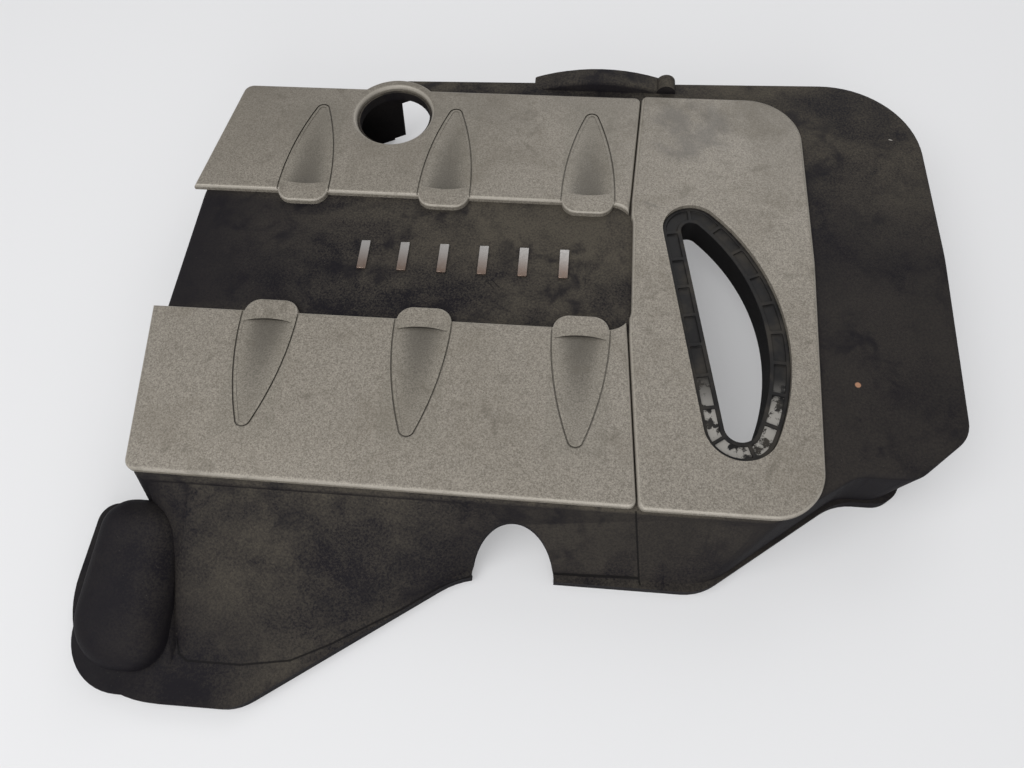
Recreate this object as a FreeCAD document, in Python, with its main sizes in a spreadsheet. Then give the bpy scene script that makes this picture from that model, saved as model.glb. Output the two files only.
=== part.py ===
import FreeCAD, Part
import math
import os
import Sketcher
from FreeCAD import Vector, Placement, Rotation

doc = FreeCAD.newDocument("engine_guard")

# Driving sizes in mm. While building, X runs to the right and Y to the back from the middle of the
# black band, and Z runs up from the lower rim.
SIZES = {
    "wall": 2.8,
    "deck_height": 69,
    "deck_round": 5,
    "rim_height": 10,
    "rim_flange": 5,
    "shoulder_right": 386,
    "shoulder_front": 155,
    "deck_back": 202,
    "skirt_left_front": 297,
    "skirt_right_front": 222,
    "notch_x": 77,
    "notch_radius": 29,
    "bulge_left": 232,
    "bulge_right": 149,
    "bulge_front": 324,
    "bulge_height": 54,
    "bulge_tilt": 12,
    "bulge_round": 20,
    "hump_x": 122,
    "hump_half": 58,
    "hump_height": 10,
    "knob_radius": 8,
    "rib_depth": 16,
    "rib_thick": 2.2,
    "trim_wall": 2.5,
    "trim_height": 5,
    "trim_round": 3,
    "trim_left": 209,
    "trim_taper": 20,
    "trim_overhang": 10,
    "rear_depth": 115,
    "front_depth": 130,
    "band_half": 57,
    "seam_x": 146.5,
    "seam_spread": 9,
    "seam_gap": 1.2,
    "band_corner": 18,
    "side_right": 286.5,
    "side_taper": 9,
    "finger_pitch": 115,
    "finger_half": 20.5,
    "finger_reach": 10,
    "finger_length": 103,
    "finger_tip": 4.9,
    "finger_corner": 12,
    "groove_width": 1.2,
    "groove_depth": 1.2,
    "scoop_depth": 2.2,
    "oil_x": -53,
    "oil_y": 143,
    "oil_radius": 32,
    "oil_collar": 8,
    "relief_height": 46,
    "vent_top_x": 196,
    "vent_top_y": 36,
    "vent_top_radius": 22.4,
    "vent_low_x": 226,
    "vent_low_y": -126.5,
    "vent_low_radius": 25.8,
    "vent_side_radius": 172,
    "ring_width": 14.5,
    "ring_height": 2,
    "window_depth": 1.4,
    "window_bar": 2.4,
    "duct_depth": 20,
    "duct_wall": 2,
    "fit_gap": 0.3,
    "stud_radius": 2,
    "clip_radius": 6,
    "clip_height": 1.6,
    "pillar_radius": 15.5,
    "seat_height": 14,
    "seat_thick": 5,
    "grommet_neck": 7,
    "grommet_radius": 11,
    "grommet_bottom": 2,
    "ball_radius": 5,
    "ball_depth": 9,
    "pad_length": 250,
    "pad_half": 50,
    "pad_thick": 15,
    "pad_corner": 12,
    "badge_bar": 7,
    "badge_height": 26,
    "badge_pitch": 31,
    "badge_thick": 1.6,
    "badge_x": 22,
}

sheet = doc.addObject("Spreadsheet::Sheet", "dims")
for row, (alias, value) in enumerate(SIZES.items(), start=1):
    sheet.set(f"A{row}", alias)
    sheet.set(f"B{row}", str(value))
    sheet.setAlias(f"B{row}", alias)
doc.recompute()


def size(alias):
    return float(sheet.get(alias))


wall = size("wall")
deck = size("deck_height")
rim = size("rim_height")
flange = size("rim_flange")
band = size("band_half")
rear_edge = band + size("rear_depth")
front_edge = -band - size("front_depth")
gap = size("fit_gap")
trim_wall = size("trim_wall")
trim_top = deck + size("trim_height")
pitch = size("finger_pitch")
oil = Vector(size("oil_x"), size("oil_y"), 0)
UP = Vector(0, 0, 1)


# Outlines

def rounded(corners, z):
    """Closed wire at height z through (x, y, radius) corners, each rounded by a tangent arc."""
    points = [Vector(x, y, z) for x, y, _ in corners]
    bends = []
    for i, (_, _, radius) in enumerate(corners):
        here = points[i]
        back = (points[i - 1] - here).normalize()
        ahead = (points[(i + 1) % len(points)] - here).normalize()
        half = back.getAngle(ahead) / 2
        if math.cos(half) < 0.02:
            start, end = here + back * radius * 0.3, here + ahead * radius * 0.3
            bends.append((start, end, Part.makeLine(start, end)))
            continue
        run = radius / math.tan(half)
        start, end = here + back * run, here + ahead * run
        middle = here + (back + ahead).normalize() * (radius / math.sin(half) - radius)
        bends.append((start, end, Part.Arc(start, middle, end).toShape()))
    edges = []
    for i, (_, end, bend) in enumerate(bends):
        edges += [bend, Part.makeLine(end, bends[(i + 1) % len(bends)][0])]
    return Part.Wire(edges)


def inset(corners, distance):
    """The same corners moved inwards by a distance, for an outline that runs anticlockwise."""
    count = len(corners)
    moved = []
    for i, (x, y, radius) in enumerate(corners):
        x0, y0, _ = corners[i - 1]
        x2, y2, _ = corners[(i + 1) % count]
        a = Vector(x - x0, y - y0, 0).normalize()
        b = Vector(x2 - x, y2 - y, 0).normalize()
        normal_a, normal_b = Vector(-a.y, a.x, 0), Vector(-b.y, b.x, 0)
        shift = (normal_a + normal_b) * (distance / (1 + normal_a.dot(normal_b)))
        turn = a.cross(b).z
        moved.append((x + shift.x, y + shift.y, radius - distance if turn > 0 else radius + distance))
    return moved


def slab(wire, height):
    return Part.Face(wire).extrude(UP * height)


def top_edges(shape, z):
    return [e for e in shape.Edges if all(abs(v.Z - z) < 1e-4 for v in e.Vertexes)
            and abs(e.CenterOfMass.z - z) < 1e-4]


def finger_wire(column, side, grow, z):
    """Outline of one styling finger: flat end with round corners over the band, bowed sides, narrow tip."""
    half, tip = size("finger_half") + grow, size("finger_tip") + grow
    corner = size("finger_corner") + grow
    near = band - size("finger_reach") - grow
    far = near + size("finger_length") + 2 * grow
    root = near + corner
    run = far - tip - root
    bow = (half ** 2 + run ** 2 - tip ** 2) / (2 * (half - tip))
    centre = Vector(half - bow, root, 0)
    touch = centre + (Vector(0, far - tip, 0) - centre).normalize() * bow
    middle = centre + (Vector(half, root, 0) + touch - centre * 2).normalize() * bow
    flat, cut = half - corner, corner * (1 - math.sqrt(0.5))

    def arc(*points):
        return Part.Arc(*[Vector(column + x, side * y, z) for x, y in points]).toShape()

    return Part.Wire([
        Part.makeLine(Vector(column - flat, side * near, z), Vector(column + flat, side * near, z)),
        arc((flat, near), (half - cut, near + cut), (half, root)),
        arc((half, root), (middle.x, middle.y), (touch.x, touch.y)),
        arc((touch.x, touch.y), (0, far), (-touch.x, touch.y)),
        arc((-touch.x, touch.y), (-middle.x, middle.y), (-half, root)),
        arc((-half, root), (cut - half, near + cut), (-flat, near)),
    ])


def vent_wire(step_in, z):
    """Vent outline: two end arcs, straight on the left and one long arc on the right."""
    top = Vector(size("vent_top_x"), size("vent_top_y"), 0)
    low = Vector(size("vent_low_x"), size("vent_low_y"), 0)
    top_r, low_r = size("vent_top_radius") - step_in, size("vent_low_radius") - step_in
    side_r = size("vent_side_radius") - step_in
    span = (low - top).Length
    along = (low - top).normalize()
    across = Vector(along.y, -along.x, 0)
    reach = ((side_r - top_r) ** 2 - (side_r - low_r) ** 2 + span ** 2) / (2 * span)
    rise = math.sqrt((side_r - top_r) ** 2 - reach ** 2)
    centre = top + along * reach + across * rise
    lean = (top_r - low_r) / span
    left = along * lean + across * math.sqrt(1 - lean ** 2)
    left_top, left_low = top + left * top_r, low + left * low_r
    right_top = centre + (top - centre).normalize() * side_r
    right_low = centre + (low - centre).normalize() * side_r
    right_middle = centre + ((top + low) * 0.5 - centre).normalize() * side_r
    wire = Part.Wire([
        Part.makeLine(left_top, left_low),
        Part.Arc(left_low, low + along * low_r, right_low).toShape(),
        Part.Arc(right_low, right_middle, right_top).toShape(),
        Part.Arc(right_top, top - along * top_r, left_top).toShape(),
    ])
    wire.translate(UP * z)
    return wire


# Document objects

def feature(name, shape):
    made = doc.addObject("Part::Feature", name)
    made.Shape = shape
    return made


def cylinder(name, x, y, low, radius, height):
    """Upright cylinder whose radius and height follow expressions of the sheet."""
    made = doc.addObject("Part::Cylinder", name)
    made.setExpression("Radius", radius)
    made.setExpression("Height", height)
    made.setExpression(".Placement.Base.x", x)
    made.setExpression(".Placement.Base.y", y)
    made.setExpression(".Placement.Base.z", low)
    return made


def box(name, x, y, low, length, width, height):
    made = doc.addObject("Part::Box", name)
    made.setExpression("Length", length)
    made.setExpression("Width", width)
    made.setExpression("Height", height)
    made.setExpression(".Placement.Base.x", x)
    made.setExpression(".Placement.Base.y", y)
    made.setExpression(".Placement.Base.z", low)
    return made


def join(name, pieces):
    made = doc.addObject("Part::MultiFuse", name)
    made.Shapes = pieces
    return made


def carve(name, base, tools):
    made = doc.addObject("Part::Cut", name)
    made.Base = base
    made.Tool = tools[0] if len(tools) == 1 else join(name + "_holes", tools)
    return made


# Studs of the silver panels, and the pillars that carry the grommets, as places in the plan.
REAR_STUDS = [
    ("-dims.trim_left + 39", "dims.band_half + 28"), ("-dims.finger_pitch / 2", "dims.band_half + 23"),
    ("dims.finger_pitch / 2", "dims.band_half + 23"), ("dims.finger_pitch / 2", "dims.band_half + 98")]
FRONT_STUDS = [
    ("-dims.trim_left + 39", "-dims.band_half - 28"), ("-dims.finger_pitch / 2", "-dims.band_half - 23"),
    ("dims.finger_pitch / 2", "-dims.band_half - 23"), ("-dims.finger_pitch / 2", "-dims.band_half - 108"),
    ("dims.finger_pitch / 2", "-dims.band_half - 108")]
SIDE_STUDS = [
    ("dims.seam_x + 24", "dims.band_half + 63"), ("dims.side_right - 22", "dims.band_half + 53"),
    ("dims.side_right - 14", "30"), ("dims.seam_x + 24", "-dims.band_half - 68"),
    ("dims.side_right - 34", "-dims.band_half - 113")]
STUDS = REAR_STUDS + FRONT_STUDS + SIDE_STUDS
PILLARS = {
    "rear_left": ("-dims.trim_left + 69", "dims.band_half + 73"),
    "front_left": ("-dims.trim_left + 59", "-dims.band_half - 68"),
    "rear_right": ("dims.shoulder_right - 60", "dims.deck_back - 75"),
    "front_right": ("dims.shoulder_right - 60", "-dims.shoulder_front + 55"),
}

# Black base moulding: a deck that falls to a front skirt, a turned-out rim down to the floor, a bulge at
# the front left and a shoulder on the right. The hollow inside follows the outside at one wall's distance.
left = size("trim_left") - size("trim_overhang")
left_in = left - size("trim_taper")
right = size("shoulder_right")
back = size("deck_back")
shoulder = -size("shoulder_front")
skirt_left, skirt_right = -size("skirt_left_front"), -size("skirt_right_front")
deck_front = front_edge - 4.5
oil_side = oil.x - size("oil_radius") - size("oil_collar") - 3
notch_x = size("notch_x")
bulge_in = -size("bulge_right")
side = size("side_right")

deck_corners = [
    (-left_in - 7, deck_front, 12), (bulge_in + 9, deck_front, 20), (-67, deck_front, 20),
    (notch_x - 29, deck_front, 20), (side - 86, deck_front, 20), (side - 40, deck_front, 22),
    (side + 16, shoulder, 22), (right - 45, shoulder, 24), (right - 6, shoulder + 34, 24),
    (right, 25, 300), (right - 3, back, 75), (oil.x + 3, back - 12, 14), (oil_side, rear_edge - 7, 14),
    (-left_in, rear_edge - 7, 12), (-left, band, 60), (-left, -band, 60)]
crease_corners = [
    (-left_in - 10, deck_front - 11, 12), (bulge_in - 1, skirt_left, 20), (-72, skirt_left, 40),
    (notch_x - 29, skirt_right, 30), (side - 86, skirt_right, 30), (side - 68, skirt_right + 5, 40),
    (side + 19, shoulder + 4, 30), (right - 44, shoulder + 4, 24), (right - 2, shoulder + 100, 50),
    (right + 2, 60, 300), (right, back + 2, 76), (oil.x + 3, back - 10, 14), (oil_side, rear_edge - 4, 14),
    (-left_in - 3, rear_edge - 4, 12), (-left - 2, band, 60), (-left - 2, -band, 60)]
rim_corners = [
    (-size("bulge_left") - 3, -size("bulge_front") - 4, 78), (-100, -size("bulge_front") - 3, 36),
    (notch_x - 35, skirt_right - flange, 60), (side - 78, skirt_right - flange, 40),
    (side + 21, shoulder + 4 - flange / 2, 40), (right - 40, shoulder + 4 - flange / 2, 20),
    (right + 2, shoulder + 100, 50), (right + 2 + flange, 60, 300), (right + flange, back + 2 + flange, 80),
    (oil.x + 1, back - 10 + flange, 14), (oil_side - 2, rear_edge - 4 + flange, 14),
    (-left_in - 3 - flange, rear_edge - 4 + flange, 12), (-left - 2 - flange, band, 60),
    (-left - 2 - flange, -band, 60), (-left_in - 11 - flange, deck_front, 5),
    (-size("bulge_left") - 1, deck_front - 3, 14)]
bulge_out, bulge_end, bulge_back = -size("bulge_left"), -size("bulge_front"), deck_front - 9
bulge_foot = [(bulge_out, bulge_end, 44), (bulge_in, bulge_end, 20), (bulge_in, bulge_back + 4, 12),
              (bulge_out + 14, bulge_back + 4, 12)]
bulge_crown = [(bulge_out + 8, bulge_end + 8, 36), (bulge_in - 5, bulge_end + 8, 24),
               (bulge_in - 5, bulge_back, 22), (bulge_out + 20, bulge_back, 22)]
TURNS = 6  # strips that make up each rounded upper edge


def mound(step_in):
    """The solid enclosed by the deck, skirt, bulge and rim, moved inwards by a distance."""
    def walls(foot, crown, low, high, radius, tilt=0):
        bend = radius - step_in
        sections = [rounded(inset(foot, step_in), low)]
        for step in range(TURNS + 1):
            angle = math.radians(90 * step / TURNS)
            section = rounded(inset(crown, step_in + bend * (1 - math.cos(angle))),
                              high - step_in - bend * (1 - math.sin(angle)))
            section.rotate(Vector(0, bulge_back, high), Vector(1, 0, 0), tilt)
            sections.append(section)
        return Part.makeLoft(sections, True, True)

    main = walls(crease_corners, deck_corners, rim - step_in - 1, deck, size("deck_round"))
    bulge = walls(bulge_foot, bulge_crown, rim - step_in - 1, size("bulge_height"),
                  size("bulge_round"), size("bulge_tilt"))
    edge = slab(rounded(inset(rim_corners, step_in), 0), rim - step_in)
    return main.fuse([bulge, edge])


def hump(step_in):
    """Low arch on the strip behind the panels."""
    half, y = size("hump_half") - step_in, back - 20 + step_in
    low = deck - 1 - step_in * 2
    start, end = Vector(size("hump_x") - half, y, low), Vector(size("hump_x") + half, y, low)
    crest = Vector(size("hump_x"), y, deck + size("hump_height") - step_in)
    arch = Part.Wire([Part.Arc(start, crest, end).toShape(), Part.makeLine(end, start)])
    return Part.Face(arch).extrude(Vector(0, 18 - 2 * step_in, 0))


arch = hump(0)
arch = arch.makeFillet(3, [e for e in arch.Edges if e.CenterOfMass.z > deck + 2])
shell = feature("base_shell", mound(0).fuse(arch).cut(mound(wall).fuse(hump(wall))))
knob = cylinder("knob", "dims.hump_x + dims.hump_half - 3", "dims.deck_back - 6", "dims.deck_height",
                "dims.knob_radius", "14")
knob.Placement.Rotation = Rotation(Vector(1, 0, 0), 90)
added = [shell, knob]
added.append(cylinder("oil_collar_wall", "dims.oil_x", "dims.oil_y", "dims.deck_height - 8",
                      "dims.oil_radius - 2 + dims.wall", "7"))
rib_foot = "dims.deck_height - dims.wall - dims.rib_depth"
for name, y in (("rear_rib", "dims.band_half + 8"), ("front_rib", "-dims.band_half - 10")):
    added.append(box(name, "-dims.trim_left + dims.trim_overhang + 1", y, rib_foot,
                     "dims.trim_left + dims.seam_x - dims.trim_overhang + 8", "dims.rib_thick",
                     "dims.rib_depth + 1"))
added.append(box("shoulder_rib", "dims.side_right + 14", "-dims.shoulder_front + 3", rib_foot,
                 "dims.rib_thick", "dims.deck_back + dims.shoulder_front - 12", "dims.rib_depth + 1"))
duct_in = size("ring_width") - size("duct_wall")
notch_front = "-dims.skirt_right_front - dims.rim_flange"
holes = [
    feature("vent_hole", slab(vent_wire(duct_in - gap, deck - 60), 80)),
    cylinder("oil_hole", "dims.oil_x", "dims.oil_y", "dims.deck_height - 40", "dims.oil_radius - 2", "60"),
    cylinder("notch_round", "dims.notch_x", notch_front, "-5", "dims.notch_radius", "dims.deck_height + 10"),
    box("notch_slot", "dims.notch_x - dims.notch_radius", notch_front + " - 40", "-5",
        "2 * dims.notch_radius", "40", "dims.deck_height + 10")]
# The back wall is cut away behind the oil filler, where its neck comes up.
holes.append(box("rear_relief", "dims.oil_x - dims.oil_radius - 14", "dims.deck_back - 18", "-5",
                 "2 * dims.oil_radius + 28", "60", "dims.relief_height + 5"))
for name, (x, y) in PILLARS.items():
    added.append(cylinder(name + "_pillar", x, y, "dims.seat_height", "dims.pillar_radius",
                          "dims.deck_height - dims.wall / 2 - dims.seat_height"))
    holes.append(cylinder(name + "_pillar_hollow", x, y, "dims.seat_height + dims.seat_thick",
                          "dims.pillar_radius - dims.wall",
                          "dims.deck_height - dims.wall - dims.seat_height - dims.seat_thick"))
    holes.append(cylinder(name + "_seat_hole", x, y, "dims.seat_height - 1", "dims.grommet_neck",
                          "dims.seat_thick + 2"))
for i, (x, y) in enumerate(STUDS):
    holes.append(cylinder(f"stud_hole_{i}", x, y, "dims.deck_height - 2 * dims.wall",
                          "dims.stud_radius + dims.fit_gap", "3 * dims.wall"))
base = carve("base_cover", join("base_body", added), holes)


# Silver panels: thin shells with turned-down edges that stand on the deck. The fingers are moulded in.

def panel_face(corners, step_in, z):
    """A panel's outline with the band's round-cornered recess taken out of it."""
    recess = Part.Face(rounded(inset(band_corners, -step_in), z))
    return Part.Face(rounded(inset(corners, step_in), z)).cut(recess).Faces[0]


def panel(corners, fingers, trim_opening=None):
    round_over, tall = size("trim_round"), size("trim_height")
    outside = panel_face(corners, 0, deck).extrude(UP * tall)
    outside = outside.makeFillet(round_over, top_edges(outside, trim_top))
    hollow = panel_face(corners, trim_wall, deck - 1).extrude(UP * (tall - trim_wall + 1))
    grooves = []
    for column, facing in fingers:
        thumb = slab(finger_wire(column, facing, 0, deck), tall)
        outside = outside.fuse(thumb.makeFillet(round_over - 1, top_edges(thumb, trim_top)))
        hollow = hollow.cut(slab(finger_wire(column, facing, -trim_wall / 2, deck - 1), tall))
        floor = trim_top - size("groove_depth")
        ring = slab(finger_wire(column, facing, size("groove_width"), floor), tall)
        grooves += [ring.cut(slab(finger_wire(column, facing, 0, floor), tall)), scoop(column, facing)]
    if trim_opening:
        outside, hollow = trim_opening(outside, hollow)
    made = outside.cut(hollow)
    return made.cut(grooves) if grooves else made


def scoop(column, facing):
    """Dished hollow in a finger, deepest at its curved step and running out at the tip."""
    plan = slab(finger_wire(column, facing, -2, trim_top - 6), 7)
    step_y = band + 7
    far = band - size("finger_reach") + size("finger_length")
    bend = 0.7 * (far - step_y)
    plan = plan.common(Part.makeCylinder(bend, 12, Vector(column, facing * (step_y + bend), trim_top - 8)))
    dish = 90
    start = Vector(column, facing * step_y, trim_top - size("scoop_depth") + dish)
    end = Vector(column, facing * far, trim_top - 0.3 + dish)
    axis = (end - start).normalize()
    return plan.common(Part.makeCylinder(dish, (end - start).Length + 40, start - axis * 20, axis))


def oil_opening(outside, hollow):
    radius, collar = size("oil_radius"), size("oil_radius") + size("oil_collar")
    ring = Part.makeCylinder(collar, size("trim_height"), oil + UP * deck)
    outside = outside.fuse(ring.makeFillet(size("trim_round") - 1, top_edges(ring, trim_top)))
    lip = size("trim_height") - 1

    def at(r, z):
        return oil + Vector(r, 0, z)

    part_way = lip * (1 - math.sqrt(0.5))
    flare = Part.Arc(at(radius, trim_top - lip), at(radius + part_way, trim_top - part_way),
                     at(radius + lip, trim_top)).toShape()
    mouth = Part.Wire([flare, Part.makePolygon([
        at(radius + lip, trim_top), at(radius + lip, trim_top + 5), at(0, trim_top + 5), at(0, deck - 5),
        at(radius, deck - 5), at(radius, trim_top - lip)])])
    outside = outside.cut(Part.Face(mouth).revolve(oil, UP, 360))
    low = oil + UP * (deck - 1)
    depth = size("trim_height") - trim_wall + 1
    hollow = hollow.fuse(Part.makeCylinder(collar - trim_wall, depth, low))
    return outside, hollow.cut(Part.makeCylinder(radius + trim_wall, depth, low))


def vent_opening(outside, hollow):
    outside = outside.cut(slab(vent_wire(0, deck - 1), 20))
    return outside, hollow.cut(slab(vent_wire(-trim_wall, deck - 1), 20))


seam = size("seam_x")
seam_end = seam + size("seam_spread")
seam_gap = size("seam_gap")
trim_left = size("trim_left")
trim_in = trim_left - size("trim_taper")
columns = (-pitch, 0, pitch)
side_in = side - size("side_taper")
fold = band + 4
band_corners = [(-trim_left - 60, -band, 5), (seam + 4.5, -band, size("band_corner")),
                (seam + 4.5, band, size("band_corner")), (-trim_left - 60, band, 5)]
rear_corners = [(-trim_left, band - 20, 3), (seam, band - 20, 3), (seam + 2, fold, 40),
                (seam_end, rear_edge, 5), (-trim_in, rear_edge, 9)]
front_corners = [(-trim_left, 20 - band, 3), (-trim_in, front_edge, 9), (seam_end + 1, front_edge - 2, 5),
                 (seam + 2, -fold, 40), (seam, 20 - band, 3)]
side_corners = [(seam + 2 + seam_gap, -fold, 40), (seam_end + seam_gap + 1, front_edge - 3, 5),
                (side_in, front_edge - 3, 36), (side, 10, 300), (side, rear_edge + 2, 44),
                (seam_end + seam_gap, rear_edge + 2, 5), (seam + 2 + seam_gap, fold, 40)]


def studded(name, shape, studs):
    pieces = [feature(name + "_panel", shape)]
    low = "dims.deck_height - dims.wall - 2 * dims.clip_height - 1"
    height = "dims.trim_height + dims.wall + 2 * dims.clip_height + 1 - dims.trim_wall / 2"
    for i, (x, y) in enumerate(studs):
        pieces.append(cylinder(f"{name}_stud_{i}", x, y, low, "dims.stud_radius", height))
    return join(name, pieces)


rear_trim = studded("rear_trim", panel(rear_corners, [(x, 1) for x in columns], oil_opening), REAR_STUDS)
front_trim = studded("front_trim", panel(front_corners, [(x, -1) for x in columns]), FRONT_STUDS)
side_trim = studded("side_trim", panel(side_corners, [], vent_opening), SIDE_STUDS)

# Push-on clips: round spring washers pushed up the studs against the underside of the deck.
clips = []
for i, (x, y) in enumerate(STUDS):
    low = "dims.deck_height - dims.wall - dims.clip_height"
    disc = cylinder(f"clip_disc_{i}", x, y, low, "dims.clip_radius", "dims.clip_height")
    hole = cylinder(f"clip_hole_{i}", x, y, low + " - 1", "dims.stud_radius", "dims.clip_height + 2")
    clips.append(carve(f"clip_{i}", disc, [hole]))
trim_clips = doc.addObject("Part::Compound", "trim_clips")
trim_clips.Links = clips

# Vent ring: a black frame on the deck inside the side panel's opening, with a duct wall going down through
# the deck and small windows between radial bars.
ring_width = size("ring_width")
ring_top = deck + size("ring_height")
frame = slab(vent_wire(gap, deck), size("ring_height")).fuse(
    slab(vent_wire(duct_in, deck - size("duct_depth")), size("duct_depth")))
frame = frame.cut(slab(vent_wire(ring_width, deck - size("duct_depth") - 1), size("duct_depth") + 20))
window_floor, bar_width = ring_top - size("window_depth"), size("window_bar")
windows = slab(vent_wire(3, window_floor), 5).cut(slab(vent_wire(ring_width - 3, window_floor), 5))
spine = vent_wire(ring_width / 2, 0)
for mark in spine.discretize(Number=19)[:-1]:
    nearest = min(spine.Edges, key=lambda e: e.distToShape(Part.Vertex(mark))[0])
    along = nearest.tangentAt(nearest.Curve.parameter(mark))
    bar = Part.makeBox(bar_width, ring_width + 4, 12, Vector(-bar_width / 2, -ring_width / 2 - 2, 0))
    bar.rotate(Vector(0, 0, 0), UP, math.degrees(math.atan2(along.y, along.x)))
    bar.translate(Vector(mark.x, mark.y, ring_top - 6))
    windows = windows.cut(bar)
vent_bezel = feature("vent_bezel", frame.cut(windows))

# Badge on the band: a row of plain upright bars, each stuck to the deck.
BARS = 6
badge = []
for i in range(BARS):
    x = f"dims.badge_x + dims.badge_pitch * {i - (BARS - 1) / 2} - dims.badge_bar / 2"
    badge.append(box(f"badge_bar_{i}", x, "-dims.badge_height / 2", "dims.deck_height", "dims.badge_bar",
                     "dims.badge_height", "dims.badge_thick"))
badge_bars = doc.addObject("Part::Compound", "badge_bars")
badge_bars.Links = badge

# Foam pad glued under the deck, between the ribs.
pad_block = box("pad_block", "-dims.pad_length / 2 - 30", "-dims.pad_half",
                "dims.deck_height - dims.wall - dims.pad_thick", "dims.pad_length", "2 * dims.pad_half",
                "dims.pad_thick")
doc.recompute()
acoustic_pad = doc.addObject("Part::Fillet", "acoustic_pad")
acoustic_pad.Base = pad_block
corner = size("pad_corner")
acoustic_pad.Edges = [(i, corner, corner) for i, e in enumerate(pad_block.Shape.Edges, start=1)
                      if abs(e.tangentAt(e.FirstParameter).z) > 0.9]


# Rubber grommets: snapped into the pillar seats, each with a socket for a ball stud from below.

def grommet(name):
    body = doc.addObject("PartDesign::Body", name)
    plane = next(o for o in body.Origin.OriginFeatures if o.Role == "XZ_Plane")
    sketch = body.newObject("Sketcher::SketchObject", name + "_section")
    sketch.AttachmentSupport = [(plane, "")]
    sketch.MapMode = "FlatFace"
    neck, lip = "dims.grommet_neck", "dims.grommet_neck + 3"
    bottom, seat = "dims.grommet_bottom", "dims.seat_height"
    roof, top = "dims.grommet_bottom + dims.ball_depth", "dims.seat_height + dims.seat_thick"
    ball, crown = "dims.ball_radius + 0.8", roof + " + 2.4"
    bore, outer = "dims.ball_radius", "dims.grommet_radius"
    profile = [("0", crown), (ball, crown), (ball, roof), (bore, roof), (bore, bottom), (outer, bottom),
               (outer, seat), (neck, seat), (neck, top), (lip, top), (lip, top + " + 2"), ("0", top + " + 2")]
    points = [Vector(float(sheet.evalExpression(x)), float(sheet.evalExpression(y)), 0) for x, y in profile]
    for i, point in enumerate(points):
        sketch.addGeometry(Part.LineSegment(point, points[(i + 1) % len(points)]))
    for i, (x, y) in enumerate(profile):
        sketch.addConstraint(Sketcher.Constraint("Coincident", i - 1 if i else len(profile) - 1, 2, i, 1))
        if x == "0":
            sketch.addConstraint(Sketcher.Constraint("PointOnObject", i, 1, -2))
        else:
            mark = sketch.addConstraint(Sketcher.Constraint("DistanceX", -1, 1, i, 1, points[i].x))
            sketch.setExpression(f"Constraints[{mark}]", x)
        mark = sketch.addConstraint(Sketcher.Constraint("DistanceY", -1, 1, i, 1, points[i].y))
        sketch.setExpression(f"Constraints[{mark}]", y)
    doc.recompute()
    turned = body.newObject("PartDesign::Revolution", name + "_turned")
    turned.Profile = sketch
    turned.ReferenceAxis = (sketch, ["V_Axis"])
    turned.Angle = 360
    return body


grommets = {name + "_grommet": grommet(name + "_grommet") for name in PILLARS}
doc.recompute()

# Every piece moves by the same amount, so that the origin sits under the middle of the base at floor level.
middle = base.Shape.BoundBox.Center
home = Vector(-round(middle.x, 1), -round(middle.y, 1), 0)
nodes = {"base_cover": base, "rear_trim": rear_trim, "front_trim": front_trim, "side_trim": side_trim,
         "vent_bezel": vent_bezel, "badge_bars": badge_bars, "acoustic_pad": acoustic_pad,
         "trim_clips": trim_clips}
for node in nodes.values():
    node.Placement = Placement(home, Rotation())
for name, (x, y) in PILLARS.items():
    node = grommets[name + "_grommet"]
    place = Vector(float(sheet.evalExpression(x)), float(sheet.evalExpression(y)), 0)
    node.Placement = Placement(home + place, Rotation())
    nodes[name + "_grommet"] = node
doc.recompute()

for item in doc.Objects:
    if "Invalid" in item.State or "Error" in item.State:
        raise RuntimeError(f"{item.Name} did not build: {item.State}")
os.makedirs("parts", exist_ok=True)
for name, node in nodes.items():
    node.Label = name
    if node.Shape.isNull() or not node.Shape.isValid():
        raise RuntimeError(f"{name} has no valid shape")
    node.Shape.exportStep(f"parts/{name}.step")
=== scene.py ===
import math
import bmesh
import bpy
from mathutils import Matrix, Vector


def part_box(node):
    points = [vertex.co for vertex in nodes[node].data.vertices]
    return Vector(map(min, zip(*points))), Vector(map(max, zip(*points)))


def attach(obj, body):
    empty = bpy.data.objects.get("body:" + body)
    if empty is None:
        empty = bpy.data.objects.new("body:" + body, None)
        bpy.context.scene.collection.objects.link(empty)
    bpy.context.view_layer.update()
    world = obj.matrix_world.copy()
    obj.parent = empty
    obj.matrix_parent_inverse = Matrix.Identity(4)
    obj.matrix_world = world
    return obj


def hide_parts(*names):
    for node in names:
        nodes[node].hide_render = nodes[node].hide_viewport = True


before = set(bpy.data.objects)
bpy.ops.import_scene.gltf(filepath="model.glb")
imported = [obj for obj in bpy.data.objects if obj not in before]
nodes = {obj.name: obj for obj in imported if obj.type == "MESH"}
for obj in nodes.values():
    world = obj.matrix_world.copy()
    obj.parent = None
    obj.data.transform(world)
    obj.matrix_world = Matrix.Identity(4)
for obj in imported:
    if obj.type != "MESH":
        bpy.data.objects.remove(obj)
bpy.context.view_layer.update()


# Base cover: one black nylon moulding with a fine spark-eroded grain, held on the engine by four grommets. Years
# in the engine bay have left a brown-grey dust film on it, wiped off in patches by hands and cloths.

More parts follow.
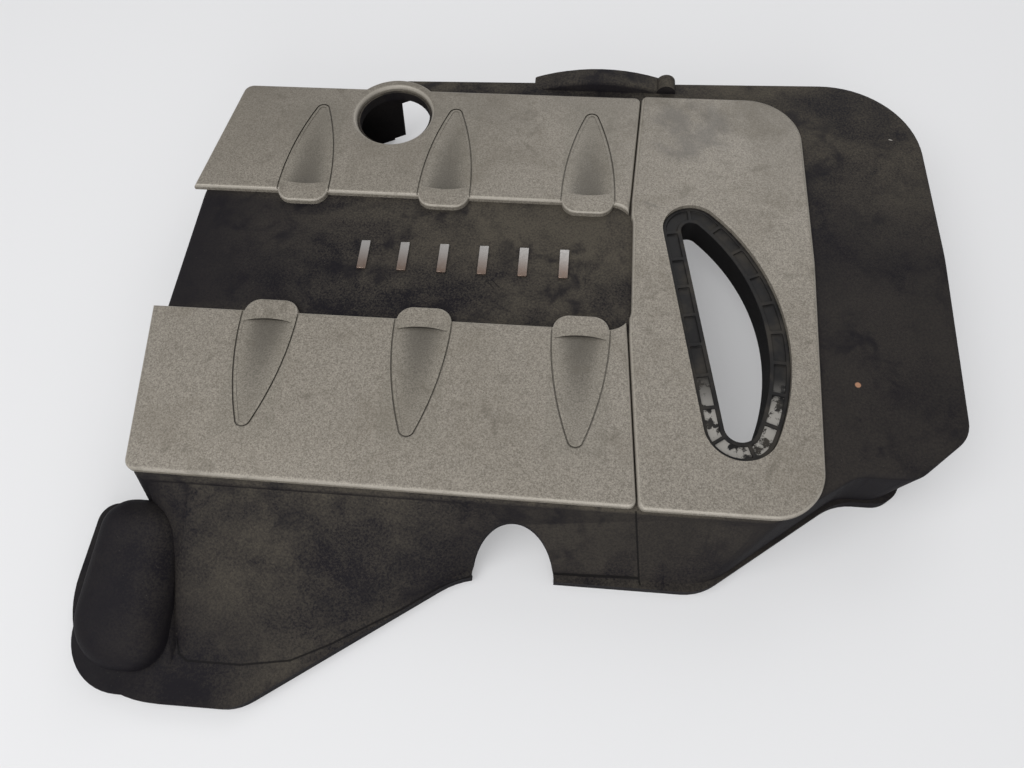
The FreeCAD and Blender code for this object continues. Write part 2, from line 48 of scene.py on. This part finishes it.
class Value:
    """A socket with arithmetic, so that a look can be written as a formula."""

    def __init__(self, graph, socket):
        self.graph, self.socket = graph, socket

    def _math(self, operation, *inputs):
        return self.graph.node("ShaderNodeMath", {"operation": operation}, dict(enumerate(inputs)))

    def __add__(self, other):
        return self._math("ADD", self, other)

    def __sub__(self, other):
        return self._math("SUBTRACT", self, other)

    def __mul__(self, other):
        return self._math("MULTIPLY", self, other)

    def __radd__(self, other):
        return self._math("ADD", other, self)

    def __rsub__(self, other):
        return self._math("SUBTRACT", other, self)

    def __rmul__(self, other):
        return self._math("MULTIPLY", other, self)

    def __pow__(self, other):
        return self._math("POWER", self, other)

    def clamp(self):
        return self.graph.node("ShaderNodeClamp", {}, {"Value": self})

    def size(self):
        return self._math("ABSOLUTE", self)

    def fold(self, half):
        """Distance from the nearest whole number of pitches, where half is half a pitch."""
        return self._math("PINGPONG", self, half)

    def step(self, low, high):
        """0 below low and 1 above high, with a soft rise between."""
        return self.graph.node("ShaderNodeMapRange", {"interpolation_type": "SMOOTHSTEP"},
                               {"Value": self, "From Min": low, "From Max": high})


class Graph:
    """A node tree that is filled one node at a time."""

    def __init__(self, tree):
        self.tree = tree

    def node(self, kind, settings, sockets, output=0):
        made = self.tree.nodes.new(kind)
        for name, value in settings.items():
            setattr(made, name, value)
        for name, value in sockets.items():
            self.feed(made.inputs[name], value)
        return Value(self, made.outputs[output]) if made.outputs else None

    def feed(self, socket, value):
        if isinstance(value, Value):
            self.tree.links.new(value.socket, socket)
        else:
            socket.default_value = value


class Look(Graph):
    """One procedural material, written in object coordinates, which are metres in the part's frame."""

    def __init__(self, name):
        self.material = bpy.data.materials.new(name)
        self.material.use_nodes = True
        super().__init__(self.material.node_tree)
        self.shader = self.tree.nodes["Principled BSDF"]
        self.place = self.node("ShaderNodeTexCoord", {}, {}, "Object")

    def noise(self, scale, detail=3.0, roughness=0.55, stretch=(1, 1, 1), shift=(0, 0, 0), distortion=0.0):
        where = self.node("ShaderNodeMapping", {}, {"Vector": self.place, "Scale": stretch, "Location": shift})
        return self.node("ShaderNodeTexNoise", {}, {"Vector": where, "Scale": scale, "Detail": detail,
                                                    "Roughness": roughness, "Distortion": distortion})

    def cells(self, scale, shift=(0, 0, 0)):
        where = self.node("ShaderNodeMapping", {}, {"Vector": self.place, "Location": shift})
        return self.node("ShaderNodeTexVoronoi", {"feature": "F1"}, {"Vector": where, "Scale": scale}, "Distance")

    def mix(self, amount, first, second):
        factor, colour_a, colour_b, mixed = 0, 6, 7, 2
        first, second = [(*c, 1.0) if isinstance(c, tuple) else c for c in (first, second)]
        return self.node("ShaderNodeMix", {"data_type": "RGBA"},
                         {factor: amount, colour_a: first, colour_b: second}, mixed)

    def axis(self, which):
        return self.node("ShaderNodeSeparateXYZ", {}, {"Vector": self.place}, which)

    def facing_up(self):
        normal = self.node("ShaderNodeNewGeometry", {}, {}, "Normal")
        return self.node("ShaderNodeSeparateXYZ", {}, {"Vector": normal}, "Z")

    def spot(self, x, y, radius):
        """1 inside a round spot seen from above, 0 outside."""
        apart = (self.axis("X") - x) ** 2.0 + (self.axis("Y") - y) ** 2.0
        return 1.0 - apart.step((radius * 0.6) ** 2, radius ** 2)

    def along_line(self, start, end):
        """How far along and beside the line from start to end a point lies, and how long the line is."""
        run = Vector(end) - Vector(start)
        length, run = run.length, run.normalized()
        dx, dy = self.axis("X") - start[0], self.axis("Y") - start[1]
        return dx * run.x + dy * run.y, dx * run.y - dy * run.x, length

    def scratch(self, start, end, width):
        """1 on a thin unsteady line between two points seen from above, fading at its ends."""
        along, across, length = self.along_line(start, end)
        across = across + (self.noise(60, 1) - 0.5) * (width * 2.5)
        inside = along.step(0.0, length * 0.3) * (1.0 - along.step(length * 0.6, length))
        return inside * (1.0 - (across ** 2.0).step((width * 0.3) ** 2, width ** 2))

    def crease(self, points, width):
        """1 on a thin line that runs through points seen from above."""
        line = 0.0
        for start, end in zip(points, points[1:]):
            along, across, length = self.along_line(start, end)
            inside = along.step(-width, 0.0) * (1.0 - along.step(length, length + width))
            line = inside * (1.0 - (across ** 2.0).step((width * 0.4) ** 2, width ** 2)) + line
        return line.clamp()

    def bump(self, height, strength, distance):
        return self.node("ShaderNodeBump", {}, {"Height": height, "Strength": strength, "Distance": distance})

    def set(self, **sockets):
        for name, value in sockets.items():
            self.feed(self.shader.inputs[name.replace("_", " ")], value)

    def dress(self, *names):
        for name in names:
            nodes[name].data.materials.clear()
            nodes[name].data.materials.append(self.material)


weld_reach = 0.00002
crisp_angle = math.radians(32)
flow = Graph(bpy.data.node_groups.new("soften", "GeometryNodeTree"))
for way in ("INPUT", "OUTPUT"):
    flow.tree.interface.new_socket("Geometry", in_out=way, socket_type="NodeSocketGeometry")
skin = flow.node("NodeGroupInput", {}, {})
skin = flow.node("GeometryNodeRemoveAttribute", {}, {0: skin, "Name": "custom_normal"})
skin = flow.node("GeometryNodeMergeByDistance", {}, {0: skin, "Distance": weld_reach})
skin = flow.node("GeometryNodeSetShadeSmooth", {}, {0: skin})
edge_angle = flow.node("GeometryNodeInputMeshEdgeAngle", {}, {}, "Unsigned Angle")
corner = flow.node("FunctionNodeCompare", {"operation": "GREATER_THAN"}, {"A": edge_angle, "B": crisp_angle})
skin = flow.node("GeometryNodeSetShadeSmooth", {"domain": "EDGE"},
                 {0: skin, "Selection": corner, "Shade Smooth": False})
flow.node("NodeGroupOutput", {}, {0: skin})


def soften(*names):
    """Let a moulding's rounded strips run smoothly into each other, with only its true corners crisp."""
    for name in names:
        nodes[name].modifiers.new("soften", "NODES").node_group = flow.tree


black = Look("black_moulding")
across, along, up = black.axis("X"), black.axis("Y"), black.facing_up()
film = black.noise(7, 5, 0.62, stretch=(1, 1.3, 1)).step(0.30, 0.66)
prints = black.noise(52, 3, 0.5, shift=(0.3, 0.1, 0), distortion=0.5).step(0.47, 0.72)
prints = prints * black.noise(11, 2, 0.5, shift=(0.8, 0.2, 0)).step(0.36, 0.58)
wiped = black.noise(17, 4, 0.6, shift=(0.7, 0.4, 0.2), distortion=1.2).step(0.50, 0.72)
handled = across.step(0.10, 0.20) * (1.0 - along.step(0.06, 0.20))
front_low = (1.0 - along.step(-0.235, -0.165)) * (1.0 - across.step(-0.21, -0.13))
left_end = 1.0 - across.step(-0.285, -0.195)
grain = black.noise(2600, 2, 0.6)
mottle = black.noise(640, 4, 0.8, shift=(0.2, 0.2, 0.2)).step(0.25, 0.75)
dust = (film * 0.80 + mottle * 0.85 - 0.32 - wiped * 0.36) * (1.0 - prints * 0.8)
dust = (dust * (1.0 - handled * 0.70) * (1.0 - front_low * 0.4) * (1.0 - left_end * 0.8)).clamp()
band_left = (1.0 - across.step(-0.21, -0.13)) * (1.0 - (along - 0.0603).size().step(0.046, 0.060))
skirt = 1.0 - along.step(-0.15, -0.13)
dust = dust * (1.0 - band_left * 0.65) * (1.0 - skirt * 0.18) * (up.step(0.05, 0.85) * 0.8 + 0.2)
speck = 1.0 - black.cells(240).step(0.035, 0.075)
speck = speck * black.noise(30, 2, 0.5, shift=(0.2, 0.9, 0)).step(0.58, 0.64)
lint = black.scratch((0.2775, 0.1995), (0.2815, 0.1985), 0.0006)
chip = black.spot(0.2286, -0.0281, 0.0024)
scuff = black.scratch((-0.040, 0.0455), (-0.0285, 0.0325), 0.0006)
scuff = (scuff + black.scratch((-0.036, 0.0460), (-0.0240, 0.0335), 0.0006)).clamp()
# Crease lines along the skirt's lip and down its seam: painted shade, a near-black line where shadow falls in the
# creases, with a small bump groove under it.
lip_left = [(-0.2290, -0.2250), (-0.2262, -0.2345), (-0.2190, -0.2388), (-0.1820, -0.2385), (-0.1482, -0.2330),
            (-0.1229, -0.2205), (-0.0783, -0.1940), (-0.0535, -0.1765), (-0.0323, -0.1672)]
lip_right = [(0.0270, -0.1610), (0.0853, -0.1600)]
skirt_seam = [(0.0773, -0.1297), (0.0868, -0.1640)]
line = black.crease(lip_left, 0.0009) + black.crease(lip_right, 0.0009) + black.crease(skirt_seam, 0.0008)
line = (line * up.step(0.1, 0.3)).clamp()
colour = black.mix(dust, (0.0064, 0.0055, 0.0076), (0.0660, 0.0575, 0.0450))
# Painted shade: the crease lines are darkened toward near black.
colour = black.mix(line * 0.8, colour, (0.0035, 0.0031, 0.0034))
colour = black.mix(speck * 0.30, colour, (0.17, 0.155, 0.13))
colour = black.mix(scuff * 0.75, colour, (0.006, 0.0055, 0.006))
colour = black.mix(lint * 0.7, colour, (0.50, 0.47, 0.42))
colour = black.mix(chip * 0.85, colour, (0.36, 0.19, 0.115))
black.set(Base_Color=colour, Roughness=(0.58 + dust * 0.28 + grain * 0.08).clamp(), Specular_IOR_Level=0.10,
          Normal=black.bump(grain + mottle * 0.4 - line * 3.0, 0.35, 0.0003))
black.dress("base_cover")
soften("base_cover")


# Rear, front and side panels: thin mouldings sprayed in satin silver-grey, clipped to the base. The rounded edges
# carry a painted highlight, the scoops grey-brown dirt with painted shade in their deepest parts and on their
# steep walls, and the flats dull smudges.

panel_top = 0.074
middle_finger, finger_pitch, finger_half = -0.0795, 0.115, 0.0205
last_finger = middle_finger + finger_pitch
band_middle = 0.0603

silver = Look("silver_paint")
across, along, up = silver.axis("X"), silver.axis("Y"), silver.facing_up()
flake = silver.noise(3600, 2, 0.6)
mottle = silver.noise(900, 4, 0.8, shift=(0.4, 0.1, 0))
soot = along.step(0.06, 0.26) * silver.noise(13, 4, 0.6, shift=(0.6, 0.6, 0)).step(0.22, 0.62)
cloud = silver.noise(6, 4, 0.55, shift=(0.15, 0.6, 0)).step(0.30, 0.72)
grime = silver.noise(21, 5, 0.65, shift=(0.5, 0.2, 0.1), distortion=0.6).step(0.46, 0.74)
pits = 1.0 - silver.cells(170, (0.3, 0.1, 0)).step(0.03, 0.08)
pits = pits * silver.noise(18, 2, 0.5, shift=(0.1, 0.3, 0.4)).step(0.52, 0.60)
# low_down marks the lowest part of the panels' top, deepest in the finger scoops, where painted shade goes.
low_down = 1.0 - silver.axis("Z").step(panel_top - 0.0023, panel_top - 0.0002)
beside = (across - middle_finger).fold(finger_pitch / 2)
finger = 1.0 - beside.step(finger_half, finger_half + 0.002)
finger = finger * (1.0 - across.step(last_finger + 0.0265, last_finger + 0.0305))
from_band = (along - band_middle).size()
finger = finger * from_band.step(0.056, 0.064) * (1.0 - from_band.step(0.150, 0.165))
# Steep walls in the fingers, the groove sides and the scoop steps: painted shade, near black.
groove_shade = (1.0 - up.step(0.25, 0.65)) * finger
# Rounded edges between the flats and the walls: a painted highlight, lighter paint where the edges catch the
# light.
edge = up.step(0.15, 0.45) * (1.0 - up.step(0.80, 0.97))
smear = silver.noise(44, 4, 0.6, shift=(0.9, 0.1, 0.3), distortion=1.4).step(0.56, 0.72)
smudge = silver.spot(0.117, 0.196, 0.040) * silver.noise(40, 4, 0.6, shift=(0.1, 0.1, 0)).step(0.36, 0.60)
rub = silver.scratch((0.0764, 0.1217), (0.0935, 0.1128), 0.0016)
paint = silver.mix(cloud, (0.188, 0.165, 0.135), (0.214, 0.191, 0.162))
paint = silver.mix(mottle.step(0.32, 0.68), silver.mix(0.66, paint, (0.070, 0.061, 0.047)),
                   silver.mix(0.40, paint, (0.43, 0.395, 0.335)))
paint = silver.mix(grime * 0.36, paint, (0.125, 0.108, 0.082))
paint = silver.mix(soot * 0.60, paint, (0.112, 0.099, 0.080))
# Finger scoops: a slight grey-brown dirt tint over each finger, then painted shade in the deepest part of each
# scoop, under the thumb's step.
paint = silver.mix(finger * 0.16, paint, (0.120, 0.112, 0.088))
paint = silver.mix(low_down * finger * 0.72, paint, (0.052, 0.046, 0.037))
# Painted highlight on the rounded edges.
paint = silver.mix(edge * 0.50, paint, (0.40, 0.37, 0.32))
paint = silver.mix(smear * 0.42, paint, (0.095, 0.083, 0.064))
paint = silver.mix(smudge * 0.60, paint, (0.098, 0.089, 0.078))
# Painted shade on the fingers' steep walls.
paint = silver.mix(groove_shade * 0.85, paint, (0.020, 0.017, 0.014))
paint = silver.mix(pits * 0.55, paint, (0.060, 0.052, 0.042))
paint = silver.mix(rub * 0.45, paint, (0.095, 0.086, 0.074))
silver.set(Base_Color=paint, Metallic=0.2, Specular_IOR_Level=0.34, Coat_Weight=0.06, Coat_Roughness=0.35,
           Roughness=(0.42 + grime * 0.16 + flake * 0.08 + low_down * 0.08).clamp(),
           Normal=silver.bump(flake + mottle * 0.5, 0.16, 0.00025))
silver.dress("rear_trim", "front_trim", "side_trim")
soften("rear_trim", "front_trim", "side_trim")


# Vent ring: plain black nylon frame dropped into the side panel's opening, with small windows between its bars.
# The windows at its lower end look pale, where light comes up through the real ring.

window_floor = 0.0695
bevel_angle = math.radians(40)


def break_edges(name, width):
    """Round a piece's corners a little, so that they catch the light as real ones do."""
    bevel = nodes[name].modifiers.new("edge", "BEVEL")
    bevel.width = width
    bevel.segments = 2
    bevel.limit_method = "ANGLE"
    bevel.angle_limit = bevel_angle


ring = Look("vent_black")
height, up = ring.axis("Z"), ring.facing_up()
settled = ring.noise(45, 4, 0.6).step(0.42, 0.7) * up.step(0.2, 0.9)
sunk = height.step(window_floor - 0.0005, window_floor - 0.0002) * up.step(0.6, 0.9)
sunk = sunk * (1.0 - height.step(window_floor + 0.0002, window_floor + 0.0007))
lower = 1.0 - ring.axis("Y").step(-0.060, -0.025)
pale = sunk * lower * ring.noise(120, 4, 0.7, shift=(0.2, 0.5, 0)).step(0.42, 0.50)
colour = ring.mix(settled * 0.6, (0.0080, 0.0075, 0.0076), (0.050, 0.044, 0.036))
ring.set(Base_Color=ring.mix(pale * 0.85, colour, (0.30, 0.285, 0.26)), Specular_IOR_Level=0.18,
         Roughness=(0.50 + settled * 0.3).clamp(), Normal=ring.bump(ring.noise(2200, 2), 0.3, 0.00025))
ring.dress("vent_bezel")
soften("vent_bezel")
break_edges("vent_bezel", 0.0004)


# Badge: a row of plain upright bars, moulded in plastic with a satin metallic skin. Each is stuck to the band on
# its own, and the skin is rubbed and is darker and browner toward the lower end.

badge = Look("badge_satin")
rubbed = badge.noise(420, 3, 0.6).step(0.3, 0.7)
upper = badge.axis("Y").step(0.046, 0.074)
skin = badge.mix(upper, (0.175, 0.120, 0.092), (0.400, 0.385, 0.370))
badge.set(Base_Color=badge.mix(rubbed * 0.3, skin, (0.20, 0.185, 0.17)), Metallic=0.75,
          Roughness=(0.32 + rubbed * 0.12).clamp(), Normal=badge.bump(badge.noise(1800, 2), 0.08, 0.0002))
badge.dress("badge_bars")
soften("badge_bars")
break_edges("badge_bars", 0.0004)


# Foam pad: open-cell sheet foam glued flat under the deck. It is softly crowned below, its sides pull in between
# the corners, and two pressed channels cross it.

foam_corner = 0.0045
side_pull, end_pull = 0.0035, 0.0030
crown_fall = 0.0036
channel_depth, channel_width, channel_places = 0.0040, 0.0045, (-0.042, 0.042)
wave_depth = 0.0006

low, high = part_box("acoustic_pad")
half = Vector([(b - a) / 2 for a, b in zip(low, high)])
middle = Vector([(b + a) / 2 for a, b in zip(low, high)])
foam_mesh = bmesh.new()
bmesh.ops.create_cube(foam_mesh, size=2.0)
bmesh.ops.subdivide_edges(foam_mesh, edges=foam_mesh.edges, cuts=47, use_grid_fill=True)
for vert in foam_mesh.verts:
    full = Vector([v * h for v, h in zip(vert.co, half)])
    core = Vector([max(foam_corner - h, min(h - foam_corner, v)) for v, h in zip(full, half)])
    place = core + ((full - core).normalized() * foam_corner if full != core else Vector())
    u, v = place.x / half.x, place.y / half.y
    place.x -= side_pull * u ** 5 * (1 - v * v)
    place.y -= end_pull * v ** 5 * (1 - u * u)
    below = max(0.0, -place.z / half.z)
    crown = crown_fall * (1 - (1 - u ** 8) * (1 - v ** 6))
    channel = sum(channel_depth * math.exp(-((place.x - x) / channel_width) ** 2) for x in channel_places)
    wave = wave_depth * (1 + math.sin(place.x * 91) * math.sin(place.y * 73 + 0.6))
    place.z += below * (crown + channel + wave)
    vert.co = middle + place
foam_data = bpy.data.meshes.new("acoustic_foam")
foam_mesh.to_mesh(foam_data)
foam_mesh.free()
foam_data.polygons.foreach_set("use_smooth", [True] * len(foam_data.polygons))
foam_pad = bpy.data.objects.new("acoustic_foam", foam_data)
bpy.context.collection.objects.link(foam_pad)
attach(foam_pad, "root")
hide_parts("acoustic_pad")

foam = Look("foam")
pores = foam.cells(420)
soiled = foam.noise(30, 4, 0.6).step(0.4, 0.7)
cell_colour = foam.mix(pores.step(0.1, 0.7), (0.016, 0.016, 0.016), (0.065, 0.062, 0.058))
foam.set(Base_Color=foam.mix(soiled * 0.4, cell_colour, (0.035, 0.029, 0.022)), Roughness=0.95,
         Specular_IOR_Level=0.1, Normal=foam.bump(pores, 0.8, 0.0012))
foam_data.materials.append(foam.material)


# Push-on clips: stamped spring-steel washers, tarnished by heat. Each is pushed over one of the panels' studs from
# under the deck and grips it.

steel = Look("clip_steel")
tarnish = steel.noise(220, 4, 0.6).step(0.4, 0.7)
steel.set(Base_Color=steel.mix(tarnish, (0.42, 0.42, 0.42), (0.22, 0.18, 0.14)), Metallic=1.0,
          Roughness=(0.30 + tarnish * 0.25).clamp())
steel.dress("trim_clips")


# Grommets: soft black rubber, each moulded in one piece and greyed a little on its skin. They are pushed into the
# pillar seats from below, and take the engine's ball studs.

rubber = Look("grommet_rubber")
bloom = rubber.noise(140, 4, 0.6).step(0.4, 0.75)
rubber.set(Base_Color=rubber.mix(bloom, (0.012, 0.012, 0.012), (0.038, 0.036, 0.034)),
           Roughness=(0.62 + bloom * 0.2).clamp(), Normal=rubber.bump(rubber.noise(900, 3), 0.2, 0.0003))
rubber.dress("front_left_grommet", "rear_left_grommet", "front_right_grommet", "rear_right_grommet")


# Studio: a pale floor that fades into a pale backdrop. The main soft light stands high at the front left, with a
# weaker one low in front and another at the back.

floor_reach = 6.0
floor_mesh = bpy.data.meshes.new("floor")
floor_mesh.from_pydata([(x * floor_reach, y * floor_reach, 0) for x, y in ((-1, -1), (1, -1), (1, 1), (-1, 1))],
                       [], [(0, 1, 2, 3)])
floor = bpy.data.objects.new("floor", floor_mesh)
bpy.context.collection.objects.link(floor)

ground = Look("floor_pale")
seen = ground.node("ShaderNodeLightPath", {}, {}, "Is Camera Ray")
ground.set(Base_Color=(0.43, 0.43, 0.434, 1.0), Roughness=0.9, Specular_IOR_Level=0.1,
           Emission_Color=ground.mix(seen, (0.0, 0.0, 0.0), (0.28, 0.28, 0.283)), Emission_Strength=1.0)
floor_mesh.materials.append(ground.material)

scene = bpy.context.scene
scene.world = bpy.data.worlds.new("studio")
scene.world.use_nodes = True
studio = Graph(scene.world.node_tree)
studio.tree.nodes.clear()
seen = studio.node("ShaderNodeLightPath", {}, {}, "Is Camera Ray")
sky = studio.node("ShaderNodeBackground", {}, {"Color": (0.92, 0.93, 0.95, 1.0), "Strength": 0.55})
backdrop = studio.node("ShaderNodeBackground", {}, {"Color": (0.72, 0.72, 0.725, 1.0), "Strength": 1.0})
chosen = studio.node("ShaderNodeMixShader", {}, {0: seen, 1: sky, 2: backdrop})
studio.node("ShaderNodeOutputWorld", {}, {"Surface": chosen})


def soft_light(name, place, aim, size, power):
    lamp = bpy.data.lights.new(name, "AREA")
    lamp.shape = "SQUARE"
    lamp.size = size
    lamp.energy = power
    light = bpy.data.objects.new(name, lamp)
    light.location = place
    light.rotation_euler = (Vector(aim) - Vector(place)).to_track_quat("-Z", "Y").to_euler()
    bpy.context.collection.objects.link(light)


soft_light("key", (-0.9, -0.6, 1.7), (0, 0, 0), 1.4, 23)
soft_light("front", (0.3, -1.7, 0.75), (0, -0.1, 0.04), 1.2, 15)
soft_light("back", (0.5, 1.5, 1.2), (0, 0, 0.05), 1.2, 10)

# Camera: its place and angles are fitted to the fingers' places in the photograph.
eye_place = (0.0266, -0.2817, 0.5559)
eye_tilt, eye_roll, eye_turn = math.radians(26.2901), math.radians(2.0359), math.radians(4.8261)
lens = bpy.data.cameras.new("camera")
lens.lens = 27.07
lens.sensor_width = 36.0
lens.clip_start = 0.01
eye = bpy.data.objects.new("camera", lens)
eye.location = eye_place
eye.rotation_euler = (eye_tilt, eye_roll, eye_turn)
bpy.context.collection.objects.link(eye)

scene.camera = eye
scene.view_settings.view_transform = "Standard"
